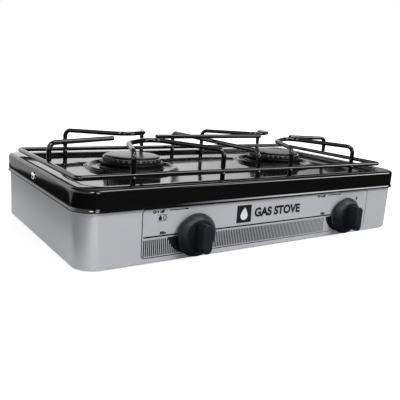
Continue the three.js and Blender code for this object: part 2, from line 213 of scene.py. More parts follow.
def burner_ring():
    """Heat-proof black outside; the near-white colour inside the flame ports is a painted highlight in
    place of the glints on the ports.
    """
    finish = Finish("burner_ring")
    x, y = finish.axis("X"), finish.axis("Y") - BURNER_Y * MM
    across = finish.node("ShaderNodeMath", {"operation": "ABSOLUTE"}, {0: x}) - BURNERS["right"] * MM
    reach = finish.node("ShaderNodeMath", {"operation": "SQRT"}, {0: across * across + y * y})
    # Painted highlight: near-white colour in a thin band just inside the port mouths, in place of the
    # glints on the ports.
    painted_port_glint = finish.spread(reach, 1, 0, (RING_R - 1.3) * MM, (RING_R - 0.6) * MM)
    painted_port_glint = painted_port_glint * finish.spread(reach, 0, 1, (RING_R - 4) * MM, (RING_R - 3.5) * MM)
    grain = finish.noise(900, 3)
    finish.set("Base Color", finish.blend(painted_port_glint, rgb(0.008, 0.008, 0.009), rgb(0.85, 0.84, 0.82)))
    finish.set("Roughness", finish.spread(grain, 0.25, 0.42))
    finish.set("Metallic", painted_port_glint * 0.3)
    finish.bump(grain, 0.0001, 0.6)
    return finish.material


def knob_plastic():
    finish = Finish("knob_plastic", IOR=1.46, Specular_IOR_Level=0.35)
    grain = finish.noise(1500, 3, 0.6)
    wear = finish.noise(60, 2)
    finish.set("Base Color", finish.blend(wear, rgb(0.005, 0.008, 0.011), rgb(0.01, 0.014, 0.018)))
    finish.set("Roughness", finish.spread(grain, 0.34, 0.5))
    finish.bump(grain, 0.00018, 0.6)
    return finish.material


def bright_plate():
    finish = Finish("bright_plate", Metallic=1.0)
    haze = finish.noise(600, 3)
    finish.set("Base Color", finish.blend(haze, rgb(0.72, 0.72, 0.73), rgb(0.83, 0.83, 0.84)))
    finish.set("Roughness", finish.spread(haze, 0.12, 0.26))
    finish.bump(haze, 0.00002)
    return finish.material


def zinc_sheet():
    finish = Finish("zinc_sheet", Metallic=0.9)
    cells = finish.node("ShaderNodeTexVoronoi", {}, {"Vector": finish.place, "Scale": 110.0}, "Color")
    tone = finish.node("ShaderNodeSeparateColor", {}, {"Color": cells}, "Red")
    streak = finish.noise(160, 3)
    colour = finish.blend(tone, rgb(0.52, 0.53, 0.54), rgb(0.61, 0.62, 0.63))
    finish.set("Base Color", finish.blend(streak * 0.3, colour, rgb(0.5, 0.5, 0.49)))
    finish.set("Roughness", finish.spread(tone, 0.34, 0.5) + streak * 0.06)
    finish.bump(streak, 0.00004)
    return finish.material


def turned_brass():
    finish = Finish("turned_brass", Metallic=1.0)
    tarnish = finish.noise(120, 4)
    finish.set("Base Color", finish.blend(tarnish, rgb(0.66, 0.47, 0.19), rgb(0.50, 0.34, 0.13)))
    finish.set("Roughness", finish.spread(tarnish, 0.24, 0.42))
    finish.bump(finish.noise(1800, 2), 0.00003)
    return finish.material


def black_rubber():
    finish = Finish("black_rubber")
    grain = finish.noise(1100, 3)
    finish.set("Base Color", finish.blend(grain, rgb(0.018, 0.018, 0.018), rgb(0.035, 0.035, 0.034)))
    finish.set("Roughness", finish.spread(grain, 0.7, 0.9))
    finish.bump(grain, 0.0001)
    return finish.material


def ink(name, dark, pale, fade_from=None, fade_to=None):
    """Screen-printed ink. With a fade it pales along the front, from one X to another."""
    finish = Finish(name, Specular_IOR_Level=0.25)
    speck = finish.noise(3000, 2)
    colour = finish.blend(finish.spread(speck, 0, 0.5, 0.45, 0.75), rgb(*dark), rgb(*pale))
    if fade_from is not None:
        fade = finish.spread(finish.axis("X"), 0, 1, fade_from * MM, fade_to * MM)
        colour = finish.blend(fade, colour, rgb(0.17, 0.18, 0.185))
    finish.set("Base Color", colour)
    finish.set("Roughness", finish.spread(speck, 0.35, 0.5))
    finish.bump(speck, 0.00001)
    return finish.material


FINISHES = {
    "silver_paint": silver_paint(),
    "black_enamel": black_enamel(),
    "burner_black": burner_black(),
    "burner_ring": burner_ring(),
    "cap_enamel": cap_enamel(),
    "knob_plastic": knob_plastic(),
    "bright_screw": bright_plate(),
    "zinc_steel": zinc_sheet(),
    "brass": turned_brass(),
    "rubber": black_rubber(),
    "black_ink": ink("black_ink", (0.008, 0.008, 0.009), (0.02, 0.02, 0.022)),
    "fading_ink": ink("fading_ink", (0.008, 0.008, 0.009), (0.02, 0.02, 0.022), -20, 130),
    "pale_ink": ink("pale_ink", (0.62, 0.63, 0.65), (0.52, 0.53, 0.55)),
}


# ---- modelling by hand, in code -------------------------------------------
def mm(*lengths):
    return Vector([length * MM for length in lengths])


def hold(piece):
    """Selects this piece alone and makes it the active one."""
    if bpy.context.mode != "OBJECT":
        bpy.ops.object.mode_set(mode="OBJECT")
    bpy.ops.object.select_all(action="DESELECT")
    piece.select_set(True)
    bpy.context.view_layer.objects.active = piece


def edit(piece, kind="VERT"):
    hold(piece)
    bpy.context.tool_settings.mesh_select_mode = [kind == each for each in ("VERT", "EDGE", "FACE")]
    bpy.ops.object.mode_set(mode="EDIT")


def leave():
    bpy.ops.object.mode_set(mode="OBJECT")


def pick(piece, kind, rule):
    """Opens the piece with only those vertices, edges or faces selected that the rule takes."""
    hold(piece)
    mesh = piece.data
    for group in (mesh.vertices, mesh.edges, mesh.polygons):
        group.foreach_set("select", [False] * len(group))
    if kind == "VERT":
        for vertex in mesh.vertices:
            vertex.select = rule(vertex.co)
    elif kind == "EDGE":
        for each in mesh.edges:
            each.select = rule(*[mesh.vertices[index].co for index in each.vertices])
    else:
        for face in mesh.polygons:
            face.select = rule(face.center, face.normal)
    edit(piece, kind)


def extrude(step):
    bpy.ops.mesh.extrude_region_move(TRANSFORM_OT_translate={"value": step})


def scale_about(centre, factors):
    bpy.ops.transform.resize(value=factors, center_override=centre)


def named(name):
    """The piece just added, with its mesh under the same name."""
    piece = bpy.context.object
    piece.name = piece.data.name = name
    return piece


def set_place(piece):
    """Moves the piece's place into its mesh, so that its object sits at the origin."""
    hold(piece)
    bpy.ops.object.transform_apply(location=True, rotation=True, scale=True)


def lay(piece, matrix):
    piece.matrix_world = matrix
    bpy.context.view_layer.update()
    set_place(piece)


def modify(piece, kind, **settings):
    hold(piece)
    modifier = piece.modifiers.new(kind.title(), kind)
    for key, value in settings.items():
        setattr(modifier, key, value)
    bpy.ops.object.modifier_apply(modifier=modifier.name)


def combine(piece, tool, operation):
    modify(piece, "BOOLEAN", operation=operation, object=tool, solver="EXACT")
    bpy.data.objects.remove(tool)


def close_up(piece, distance=0.002):
    """Merges doubles and turns the faces outwards."""
    edit(piece)
    bpy.ops.mesh.select_all(action="SELECT")
    bpy.ops.mesh.remove_doubles(threshold=distance * MM)
    bpy.ops.mesh.normals_make_consistent(inside=False)
    leave()


def gather(name, pieces):
    """Joins several pieces into one."""
    hold(pieces[0])
    for piece in pieces[1:]:
        piece.select_set(True)
    bpy.ops.object.join()
    pieces[0].name = pieces[0].data.name = name
    return pieces[0]


def finish_piece(piece, body, slot, paint=None, stands_for=(), smooth=35):
    hold(piece)
    bpy.ops.object.shade_smooth_by_angle(angle=math.radians(smooth))
    piece.data.materials.clear()
    piece.data.materials.append(FINISHES[paint or slot])
    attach(piece, body)
    if stands_for:
        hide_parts(*stands_for)
    return piece


def draw_ring(start, profile, x=0, y=0):
    """Extrudes the selected circle through (radius, height) pairs round an upright axis."""
    radius, height = start
    for next_radius, next_height in profile:
        extrude(mm(0, 0, next_height - height))
        ratio = next_radius / radius
        scale_about(mm(x, y, next_height), (ratio, ratio, 1))
        radius, height = next_radius, next_height


def turned(name, profile, segments=96, matrix=None):
    """A piece turned about Z from (radius, height) pairs. An end on the axis closes to a point."""
    pole = 0.0005
    first, *others = [(max(radius, pole), height) for radius, height in profile]
    bpy.ops.mesh.primitive_circle_add(vertices=segments, radius=first[0] * MM)
    piece = named(name)
    edit(piece)
    bpy.ops.mesh.select_all(action="SELECT")
    bpy.ops.transform.translate(value=mm(0, 0, first[1]))
    draw_ring(first, others)
    leave()
    close_up(piece)
    if matrix:
        lay(piece, matrix)
    return piece


def arc(centre_r, centre_z, radius, start, end, steps=6):
    """Points of a turned profile on an arc, by angle from outwards (0) to up (90)."""
    points = []
    for step in range(steps + 1):
        angle = math.radians(start + (end - start) * step / steps)
        points.append((centre_r + radius * math.cos(angle), centre_z + radius * math.sin(angle)))
    return points


def upright(x, y, z=0):
    return Matrix.Translation(mm(x, y, z))


def to_front(x, y, z):
    return upright(x, y, z) @ Matrix.Rotation(math.radians(90), 4, "X")


def to_rear(x, y, z):
    return upright(x, y, z) @ Matrix.Rotation(math.radians(-90), 4, "X")


def to_side(x, y, z, side):
    return upright(x, y, z) @ Matrix.Rotation(math.radians(90 * side), 4, "Y")


def rod(name, corners, bends, radius=ROD, sides=24, steps=10, chamfer=0.7):
    """A rod drawn along its corners: straight runs are extruded and bends are spun."""
    points = [mm(*corner) for corner in corners]
    ahead = (points[1] - points[0]).normalized()
    turn = ahead.to_track_quat("Z", "Y").to_euler()
    bpy.ops.mesh.primitive_circle_add(vertices=sides, radius=radius * MM, location=points[0], rotation=turn)
    piece = named(name)
    set_place(piece)
    edit(piece)
    bpy.ops.mesh.select_all(action="SELECT")
    tip = 1 - chamfer / radius
    scale_about(points[0], (tip, tip, tip))
    bpy.ops.mesh.edge_face_add()
    extrude(ahead * chamfer * MM)
    here = points[0] + ahead * chamfer * MM
    scale_about(here, (1 / tip,) * 3)
    for before, corner, after, bend in zip(points, points[1:], points[2:], bends):
        back = (before - corner).normalized()
        onward = (after - corner).normalized()
        half = back.angle(onward) / 2
        tangent = bend * MM / math.tan(half)
        centre = corner + (back + onward).normalized() * (bend * MM / math.sin(half))
        extrude(corner + back * tangent - here)
        hinge = (-back).cross(onward).normalized()
        bpy.ops.mesh.spin(steps=steps, angle=2 * half - math.pi, center=centre, axis=hinge)
        here = corner + onward * tangent
        ahead = onward
    extrude(points[-1] - ahead * chamfer * MM - here)
    extrude(ahead * chamfer * MM)
    scale_about(points[-1], (tip, tip, tip))
    leave()
    close_up(piece, 0.0005)
    return piece


def outline(name, width, depth, radius, height=0.0, segments=12, cuts=0, rear_radius=None):
    """A flat rounded rectangle, with its long edges cut into shorter ones if asked."""
    bpy.ops.mesh.primitive_plane_add(size=1, location=mm(0, 0, height))
    piece = named(name)
    piece.scale = (width * MM, depth * MM, 1)
    set_place(piece)
    rear = rear_radius or radius
    pick(piece, "VERT", lambda p: p.y > 0)
    bpy.ops.mesh.bevel(offset=rear * MM, segments=segments, affect="VERTICES")
    pick(piece, "VERT", lambda p: p.y < 0 and abs(p.x) > (width / 2 - 0.01) * MM)
    bpy.ops.mesh.bevel(offset=radius * MM, segments=segments, affect="VERTICES")
    if cuts:
        pick(piece, "EDGE", lambda a, b: (a - b).length > 4 * radius * MM / segments)
        bpy.ops.mesh.subdivide(number_cuts=cuts)
    leave()
    return piece


def draw_wall(width, depth, start, steps):
    """Extrudes the selected outline through (inset, height) pairs, scaled to follow its edge."""
    inset, height = start
    for next_inset, next_height in steps:
        extrude(mm(0, 0, next_height - height))
        across = (width - 2 * next_inset) / (width - 2 * inset)
        along = (depth - 2 * next_inset) / (depth - 2 * inset)
        scale_about(mm(0, 0, next_height), (across, along, 1))
        inset, height = next_inset, next_height


def take_edge(piece):
    """Deletes the face of a flat outline and selects the edge that is left."""
    edit(piece, "FACE")
    bpy.ops.mesh.select_all(action="SELECT")
    bpy.ops.mesh.delete(type="ONLY_FACE")
    pick(piece, "EDGE", lambda a, b: True)


def bore(piece, at_end, wall, step):
    """Hollows a piece from the end face that the rule takes."""
    pick(piece, "FACE", at_end)
    bpy.ops.mesh.inset(thickness=wall * MM)
    extrude(step)
    leave()


# ---- casing and top --------------------------------------------------------
def make_casing():
    roll, lip = 2.6, 10
    foot = CASE_BOTTOM + roll
    piece = outline("casing", CASE_W, CASE_D, CASE_R, foot, 20, rear_radius=CASE_REAR_R)
    take_edge(piece)
    draw_wall(CASE_W, CASE_D, (0, foot), [(0, CASE_TOP)])
    pick(piece, "EDGE", lambda a, b: max(a.z, b.z) < (foot + 0.01) * MM)
    sixths = [math.pi / 12 * step for step in range(1, 7)]
    rolled = [(roll * (1 - math.cos(a)), foot - roll * math.sin(a)) for a in sixths]
    draw_wall(CASE_W, CASE_D, (0, foot), rolled + [(lip, CASE_BOTTOM)])
    edit(piece)
    for side in (-1, 1):
        bpy.ops.mesh.select_all(action="SELECT")
        bpy.ops.mesh.bisect(plane_co=mm(side * REAR_OPENING, 0, 0), plane_no=(1, 0, 0))
    rear = CASE_D / 2 - 15
    pick(piece, "FACE", lambda c, n: c.y > rear * MM and abs(c.x) < REAR_OPENING * MM)
    bpy.ops.mesh.delete(type="FACE")
    leave()
    close_up(piece)
    modify(piece, "SOLIDIFY", thickness=MM, offset=-1, use_even_offset=True)
    for x in KNOBS.values():
        drill = turned("stem_hole", [(0, -5), (7, -5), (7, 5), (0, 5)], 48, to_front(x, FRONT, KNOB_Z))
        combine(piece, drill, "DIFFERENCE")
    finish_piece(piece, "stove", "silver_paint", stands_for=["casing_wrap"])


def make_top_panel():
    shoulder, inner = 4.2, 2.6
    hem = [(-HEM_OUT, HEM_Z + 0.7), (-0.95, HEM_Z + 1.5), (-0.5, HEM_Z + 2.5), (-0.1, HEM_Z + 3.4),
           (0, HEM_Z + 4.6)]
    quarter = [math.pi / 16 * step for step in range(1, 9)]
    rise = [(0, RIM_Z - shoulder)]
    rise += [(shoulder * (1 - math.cos(a)), RIM_Z - shoulder + shoulder * math.sin(a)) for a in quarter]
    flat_end = RIM_WIDTH - 2 * inner
    fall = [(flat_end, RIM_Z)]
    fall += [(flat_end + inner * math.sin(a), RIM_Z - inner + inner * math.cos(a)) for a in quarter]
    fall += [(RIM_WIDTH - inner * math.cos(a), PAN_Z + inner - inner * math.sin(a)) for a in quarter]
    width, depth = TOP_W + 2 * HEM_OUT, TOP_D + 2 * HEM_OUT
    piece = outline("top_panel_skin", width, depth, TOP_R + HEM_OUT, HEM_Z, 20, 15, TOP_REAR_R + HEM_OUT)
    take_edge(piece)
    draw_wall(TOP_W, TOP_D, (-HEM_OUT, HEM_Z), hem + rise + fall)
    leave()
    for x in BURNERS.values():
        edit(piece)
        bpy.ops.mesh.select_all(action="DESELECT")
        bpy.ops.mesh.primitive_circle_add(vertices=96, radius=BEAD_R * MM, location=mm(x, BURNER_Y, PAN_Z))
        leave()
    level = PAN_Z * MM
    pick(piece, "EDGE", lambda a, b: abs(a.z - level) < 1e-6 and abs(b.z - level) < 1e-6)
    bpy.ops.mesh.fill(use_beauty=True)
    bead = [(66.2, 88.55), (64.9, 88.9), (63.8, 89.8), (62.8, 91.2), (61.8, 92.3), (60.6, 92.85),
            (59.4, 92.8), (57.8, 91.9), (55.8, 90), (53.6, 88.4), (51, 87.7), (47, 87.5), (36, 87.5)]
    for x in BURNERS.values():
        centre = mm(x, BURNER_Y, PAN_Z)
        pick(piece, "EDGE", lambda a, b: max(abs((p - centre).length - BEAD_R * MM) for p in (a, b)) < 1e-6)
        draw_ring((BEAD_R, PAN_Z), bead, x, BURNER_Y)
        leave()
    close_up(piece)
    modify(piece, "SOLIDIFY", thickness=1.2 * MM, offset=-1)
    finish_piece(piece, "stove", "black_enamel", stands_for=["top_panel"])


def pan_head(name, head, height, shank, length, matrix):
    """Pan-head screw with a cross recess."""
    piece = turned(name, [
        (0, -length), (shank * 0.7, -length), (shank, -length + 0.8), (shank, 0),
        (head - 0.2, 0), (head, 0.2), (head, height * 0.4), (head * 0.93, height * 0.66),
        (head * 0.76, height * 0.88), (head * 0.5, height * 0.98), (0, height),
    ], 48)
    for turn in (0, math.radians(90)):
        bpy.ops.mesh.primitive_cube_add(size=1, location=mm(0, 0, height), rotation=(0, 0, turn))
        slot = bpy.context.object
        slot.scale = (head * 1.05 * MM, head * 0.24 * MM, height * 0.9 * MM)
        set_place(slot)
        combine(piece, slot, "DIFFERENCE")
    lay(piece, matrix)
    return piece


def make_screws():
    side_y, side_z = 10.5, 83
    for name, side in (("left", -1), ("right", 1)):
        place = to_side(side * (TOP_W / 2 + GAP), side_y, side_z, side)
        screw = pan_head(f"side_pan_head_{name}", 4.6, 2.6, 1.9, 9, place)
        finish_piece(screw, "stove", "bright_screw", stands_for=[f"side_screw_{name}"])
    for index, (x, z) in enumerate([(-231, 16), (231, 16), (-231, 58), (231, 58)], 1):
        place = to_rear(x, CASE_D / 2 + GAP, z)
        screw = pan_head(f"rear_pan_head_{index}", 3.6, 2.0, 1.6, 6, place)
        finish_piece(screw, "stove", "bright_screw", stands_for=[f"rear_screw_{index}"])


def make_feet():
    profile = [(0, 0.6), (3, 0.6), (3.5, 0), (7.4, 0), (8.2, 0.3), (8.5, 1), (8.3, 3.5), (0, 3.5)]
    for name, x in (("left", -200), ("right", 200)):
        for end, y in (("front", -112), ("rear", 112)):
            foot = turned(f"rubber_foot_{end}_{name}", profile, 48, upright(x, y))
            finish_piece(foot, "stove", "rubber", stands_for=[f"foot_{end}_{name}"])


# ---- burners ---------------------------------------------------------------
def make_burner(name, x):
    place = upright(x, BURNER_Y)
    cup = turned(f"burner_bowl_{name}", [
        (13, 62), (15.5, 62), (15.5, 70), (24, 78), (31, 82.5), (33, 84), (33, 87.8), (43.6, 87.8),
        (44.4, 88.4), (44.4, 90.6), (43.6, 91.4), (43.2, 92.4), (43.2, 95.2), (43.6, 96), (44.4, 96.6),
        (44.4, 97.8), (43.8, 98.6), (42.8, 99.1), (41.4, 99.5), (36, 99.5), (34, 97), (30, 88),
        (13, 72), (13, 62),
    ], 128, place)
    finish_piece(cup, "stove", "burner_black", stands_for=[f"burner_cup_{name}"])
    sectors, port_foot, port_depth = 96, 101.3, 2.6
    ring = turned(f"flame_ring_{name}", [
        (34.5, 99.8), (RING_R - 0.4, 99.8), (RING_R, 100.2), (RING_R, port_foot), (RING_R, 103.9),
        (RING_R - 0.4, 104.3), (34.5, 104.3), (34.5, 99.8),
    ], sectors)

    def in_port(centre, normal):
        """Every third face of the ring's outer wall."""
        sector = int((math.atan2(centre.y, centre.x) % (2 * math.pi)) / (2 * math.pi / sectors))
        outer = normal.xy.length > 0.9 and centre.xy.length > (RING_R - 1.5) * MM
        return outer and centre.z > (port_foot + 0.1) * MM and sector % 3 == 0

    pick(ring, "FACE", in_port)
    bpy.ops.mesh.extrude_faces_move(TRANSFORM_OT_shrink_fatten={"value": -port_depth * MM})
    leave()
    lay(ring, place)
    finish_piece(ring, "stove", "burner_black", "burner_ring", [f"port_ring_{name}"], 25)
    cap = turned(f"burner_lid_{name}", [
        (0, 102), (31, 102), (31.6, 102.5), (32.6, 104.2), (33.2, 104.6), (37.8, 104.6), (38.3, 104.8),
        (38.5, 105.3), (38.3, 105.9), (37.7, 106.4), (36.5, 106.8), (34, 107.2), (28, 107.5), (27, 107.45),
        (26, 107.5), (20, 107.7), (10, 107.85), (0, 107.9),
    ], 128, place)
    finish_piece(cap, f"burner_cap_{name}", "black_enamel", "cap_enamel", [f"burner_cap_{name}"])
    clamp = turned(f"clamp_washer_{name}", [
        (33.4, 84.7), (46.8, 84.7), (47, 84.9), (47, 85.8), (46.8, 86), (33.4, 86), (33.4, 84.7),
    ], 96, place)
    finish_piece(clamp, "stove", "zinc_steel", stands_for=[f"burner_clamp_{name}"])


def make_mixing_tube(name, x, tap_x):
    mouth_y, bell_y, top_z, wall = -83, -90, 61.7, 1.1
    corners = [(tap_x, mouth_y, KNOB_Z), (x, BURNER_Y, KNOB_Z), (x, BURNER_Y, top_z)]
    tube = rod(f"venturi_{name}", corners, [22], radius=11, sides=48, steps=16, chamfer=0.3)
    bore(tube, lambda c, n: c.z > (top_z - 0.01) * MM, wall, mm(0, 0, -30))
    bore(tube, lambda c, n: c.y < (mouth_y + 0.01) * MM, wall, mm(0, 40, 0))
    bell = turned(f"bell_{name}", [
        (9.6, 0), (13.5, 0), (14.2, 0.4), (14.3, 0.8), (13.8, 2.4), (12, 7), (10.8, 8.8), (9.6, 9),
        (9.6, 0),
    ], 48, to_rear(tap_x, bell_y, KNOB_Z))
    tube = gather(f"venturi_{name}", [tube, bell])
    finish_piece(tube, "stove", "zinc_steel", stands_for=[f"mixing_tube_{name}"])


# ---- taps, gas pipe and knobs -----------------------------------------------
def make_tap(name, x):
    body_y, jet_y, slug_y, spindle_y = -133, -101.7, -114.6, -155.9
    body = turned(f"tap_casting_{name}", [
        (7, 0), (9.6, 0), (10, 0.4), (10, 6.6), (9.6, 7), (8.6, 8), (8.6, 18), (9.6, 19), (10, 19.4),
        (10, 29.4), (9.4, 30), (6, 31), (3, 31), (3, 26), (7, 26), (7, 0),
    ], 48, to_rear(x, body_y, KNOB_Z))
    finish_piece(body, "stove", "brass", stands_for=[f"tap_body_{name}"])
    jet = turned(f"gas_jet_{name}", [
        (0.8, 0), (5.2, 0), (5.5, 0.3), (5.5, 4.7), (5.2, 5), (3.6, 6), (3.2, 14), (2.2, 16), (0.8, 16),
        (0.8, 0),
    ], 36, to_rear(x, jet_y, KNOB_Z))
    finish_piece(jet, "stove", "brass", stands_for=[f"injector_{name}"])
    plunger = turned(f"tap_slug_{name}", [
        (0, 0), (6.4, 0), (6.7, 0.3), (6.7, 2.7), (6.4, 3), (0, 3),
    ], 48, to_rear(x, slug_y, KNOB_Z))
    finish_piece(plunger, f"tap_plunger_{name}", "brass", stands_for=[f"tap_plunger_{name}"])
    stem = turned(f"tap_spindle_{name}", [
        (0, 0), (2.6, 0), (3, 0.4), (3, 11), (2.8, 11.2), (2.8, 12.8), (3, 13), (3, 41), (0, 41),
    ], 36, to_rear(x, spindle_y, KNOB_Z))
    finish_piece(stem, f"knob_{name}", "brass", stands_for=[f"tap_stem_{name}"])


def make_knob(name, x):
    skirt = turned(f"knob_grip_{name}", [
        (3.3, 0), (25.6, 0), (26.4, 0.3), (26.8, 1), (26.8, 2.6), (26.5, 3.4),
        *arc(11.2, -4.0, 16.6, 28, 57, 8),
        (19.2, 9.7), (18.3, 9.9), (17.9, 9.6), (17.7, 8.4), (3.3, 8.4), (3.3, 0),
    ], 128)
    grip_foot = 8.2
    grip = outline("knob_bar", 14.2, 36.2, 7.0, grip_foot, segments=14)
    pick(grip, "FACE", lambda c, n: True)
    for thickness, rise in ((0.3, 0.15), (0.2, 0.25), (0.1, 0.4)):
        bpy.ops.mesh.inset(thickness=thickness * MM, depth=rise * MM)
    extrude(mm(0, 0, 16.2))
    for thickness, rise in ((0.08, 0.3), (0.22, 0.3), (0.3, 0.15), (0.4, 0.05)):
        bpy.ops.mesh.inset(thickness=thickness * MM, depth=rise * MM)
    pick(grip, "EDGE", lambda a, b: max(a.z, b.z) < (grip_foot + 0.01) * MM)
    bpy.ops.mesh.edge_face_add()
    leave()
    close_up(grip)
    combine(skirt, grip, "UNION")
    lay(skirt, to_front(x, KNOB_BACK, KNOB_Z))
    finish_piece(skirt, f"knob_{name}", "knob_plastic", stands_for=[f"knob_{name}"], smooth=28)


def make_gas_line():
    tap_r, pipe_r = 10, 5
    pipe_z = KNOB_Z - tap_r - GAP - pipe_r
    rear = CASE_D / 2 + 6
    inlet_x, inlet_z = 215, 40
    corners = [(inlet_x, rear, inlet_z), (inlet_x, -76, inlet_z), (inlet_x, -117, pipe_z),
               (-136, -117, pipe_z)]
    pipe = rod("gas_rail", corners, [14, 14], radius=pipe_r, sides=32, steps=12)
    finish_piece(pipe, "stove", "zinc_steel", stands_for=["supply_pipe"])
    barb = turned("hose_tail", [
        (1.8, 0), (8.6, 0), (9, 0.4), (9, 7.6), (8.6, 8), (6.2, 8.6), (6.2, 11), (5.2, 11.5), (6.2, 15),
        (5.2, 15.5), (6.2, 19), (5.2, 19.5), (6, 22.7), (4.6, 23.7), (1.8, 23.7), (1.8, 0),
    ], 64, to_rear(inlet_x, rear + GAP, inlet_z))
    finish_piece(barb, "stove", "brass", stands_for=["inlet_barb"])


# ---- grate -------------------------------------------------------------------
def enamel_rod(name, corners, bends):
    piece = rod(f"{name}_rod", corners, bends)
    return finish_piece(piece, "grate", "black_enamel", stands_for=[name])


def make_grate_frame():
    weld_x, half = 68, FRAME_W / 2
    corners = [(weld_x, FRONT_Y, FRAME_Z), (half, FRONT_Y, FRAME_Z), (half, BACK_Y, FRAME_Z),
               (-half, BACK_Y, FRAME_Z), (-half, FRONT_Y, FRAME_Z), (weld_x - 0.2, FRONT_Y, FRAME_Z)]
    pieces = [rod("perimeter_rod", corners, [FRAME_BEND] * 4, chamfer=0.2)]
    weld = [(0, -1.6), (ROD * 0.6, -1.6), *arc(ROD - 1.2, 0, 1.75, -60, 60, 8), (ROD * 0.6, 1.6), (0, 1.6)]
    pieces.append(turned("butt_weld", weld, 24, to_side(weld_x, FRONT_Y, FRAME_Z, 1)))
    tip_z = PAN_Z + GAP
    foot = [(0, tip_z), (ROD - 0.9, tip_z), (ROD - 0.25, tip_z + 0.3), (ROD, tip_z + 1),
            (ROD, FRAME_Z - ROD - 0.6), (ROD + 0.5, FRAME_Z - ROD + 0.6), (ROD - 0.4, FRAME_Z),
            (0, FRAME_Z)]
    for y in (FRONT_Y, BACK_Y):
        for x in (-LEG_X[0], -LEG_X[1], 0, LEG_X[1], LEG_X[0]):
            pieces.append(turned("foot", foot, 24, upright(x, y)))
    piece = gather("grate_frame_rod", pieces)
    finish_piece(piece, "grate", "black_enamel", stands_for=["grate_frame"])


def hairpin_corners(centre_x, leg_y, tip_y, turn_in):
    """One steep side that turns early, a wide rounded tip, and a long slanting side."""
    reach, half_span, tip = tip_y - leg_y, 64, 67
    steep, slant = centre_x - half_span, centre_x + half_span
    if reach < 0:
        steep, slant = slant, steep
    lean = math.copysign(1, slant - steep)
    return [(steep, leg_y, LEG_FOOT_Z), (steep, leg_y, LEG_TOP_Z),
            (steep + lean * turn_in, leg_y + reach * 0.66, FINGER_Z - 1),
            (steep + lean * tip, tip_y, FINGER_Z),
            (slant, leg_y, LEG_TOP_Z), (slant, leg_y, LEG_FOOT_Z)]


def make_grate():
    make_grate_frame()
    enamel_rod("grate_bridge", [(0, FRONT_Y, LEG_FOOT_Z), (0, FRONT_Y, BRIDGE_Z), (0, BACK_Y, BRIDGE_Z),
                                (0, BACK_Y, LEG_FOOT_Z)], [BEND, BEND])
    enamel_rod("grate_cross_rod", [(-96, FRAME_Y, FINGER_Z), (96, FRAME_Y, FINGER_Z)], [])
    for name, side in (("left", -1), ("right", 1)):
        leg_y, tip_y = (FRAME_Y - 18, FRAME_Y - 3) if side < 0 else (FRAME_Y + 8, FRAME_Y + 2)
        x = side * FRAME_W / 2
        enamel_rod(f"grate_finger_{name}", [(x, leg_y, LEG_FOOT_Z), (x, leg_y, OUTER_LEG_Z),
                                            (side * 162, tip_y, FINGER_Z - 1.5)], [BEND])
        for end, leg_y, tip_y, turn_in in (("front", FRONT_Y, -24, 20), ("rear", BACK_Y, 33, 26)):
            enamel_rod(f"grate_hairpin_{end}_{name}", hairpin_corners(side * 123, leg_y, tip_y, turn_in),
                       [BEND, 22, 26, BEND])


# ---- print on the front --------------------------------------------------------
def plate(name, x0, x1, z0, z1):
    """A flat patch of ink on the front, seen from -Y."""
    centre = mm((x0 + x1) / 2, PRINT_Y, (z0 + z1) / 2)
    bpy.ops.mesh.primitive_plane_add(size=1, location=centre, rotation=(math.radians(90), 0, 0))
    piece = named(name)
    piece.scale = ((x1 - x0) * MM, (z1 - z0) * MM, 1)
    set_place(piece)
    return piece


def border():
    x0, x1, z0, z1 = -189.5, 196, 9.5, 68.2
    piece = plate("border", x0, x1, z0, z1)
    edit(piece)
    bpy.ops.mesh.select_all(action="SELECT")
    bpy.ops.mesh.bevel(offset=5 * MM, segments=6, affect="VERTICES")
    bpy.ops.mesh.inset(thickness=1.1 * MM)
    leave()
    middle = mm((x0 + x1) / 2, 0, (z0 + z1) / 2)
    pick(piece, "FACE", lambda c, n: abs(c.x - middle.x) < 0.02 and abs(c.z - middle.z) < 0.02)
    bpy.ops.mesh.delete(type="FACE")
    leave()
    return piece


def bars(name, x0, x1, z0, z1, pitch, thickness):
    """A row of upright stripes."""
    piece = plate(name, x0, x0 + thickness, z0, z1)
    modify(piece, "ARRAY", count=int((x1 - x0) / pitch), use_relative_offset=False,
           use_constant_offset=True, constant_offset_displace=mm(pitch, 0, 0))
    return piece


def words(name, text, x, z, height, bold=0.0):
    """Plain lettering, its left end at x and its foot at z."""
    capital_share = 0.7
    bpy.ops.object.text_add(rotation=(math.radians(90), 0, 0))
    letters = bpy.context.object
    letters.data.body = text
    letters.data.size = height * MM / capital_share
    letters.data.offset = bold * MM
    hold(letters)
    bpy.ops.object.convert(target="MESH")
    piece = named(name)
    piece.location = mm(x, PRINT_Y, z)
    set_place(piece)
    return piece


def simmer_wedge(name, x):
    """The wedge beside the knob that narrows along an arc, from "Min" down to the foot of the scale."""
    inner_r, broad, narrow = 24, 13, 1.5
    steps, total = 12, 62
    piece = plate(name, x - inner_r - broad, x - inner_r, KNOB_Z - 0.4, KNOB_Z)
    pick(piece, "EDGE", lambda a, b: max(a.z, b.z) < (KNOB_Z - 0.3) * MM)

    def on_arc(step):
        angle = math.radians(180 + total * step / steps)
        return mm(x + inner_r * math.cos(angle), PRINT_Y, KNOB_Z + inner_r * math.sin(angle))

    def breadth(step):
        return broad - (broad - narrow) * step / steps

    for step in range(1, steps + 1):
        extrude(on_arc(step) - on_arc(step - 1))
        turn = math.radians(total / steps)
        bpy.ops.transform.rotate(value=turn, orient_axis="Y", center_override=on_arc(step))
        shrink = breadth(step) / breadth(step - 1)
        scale_about(on_arc(step), (shrink,) * 3)
    leave()
    return piece


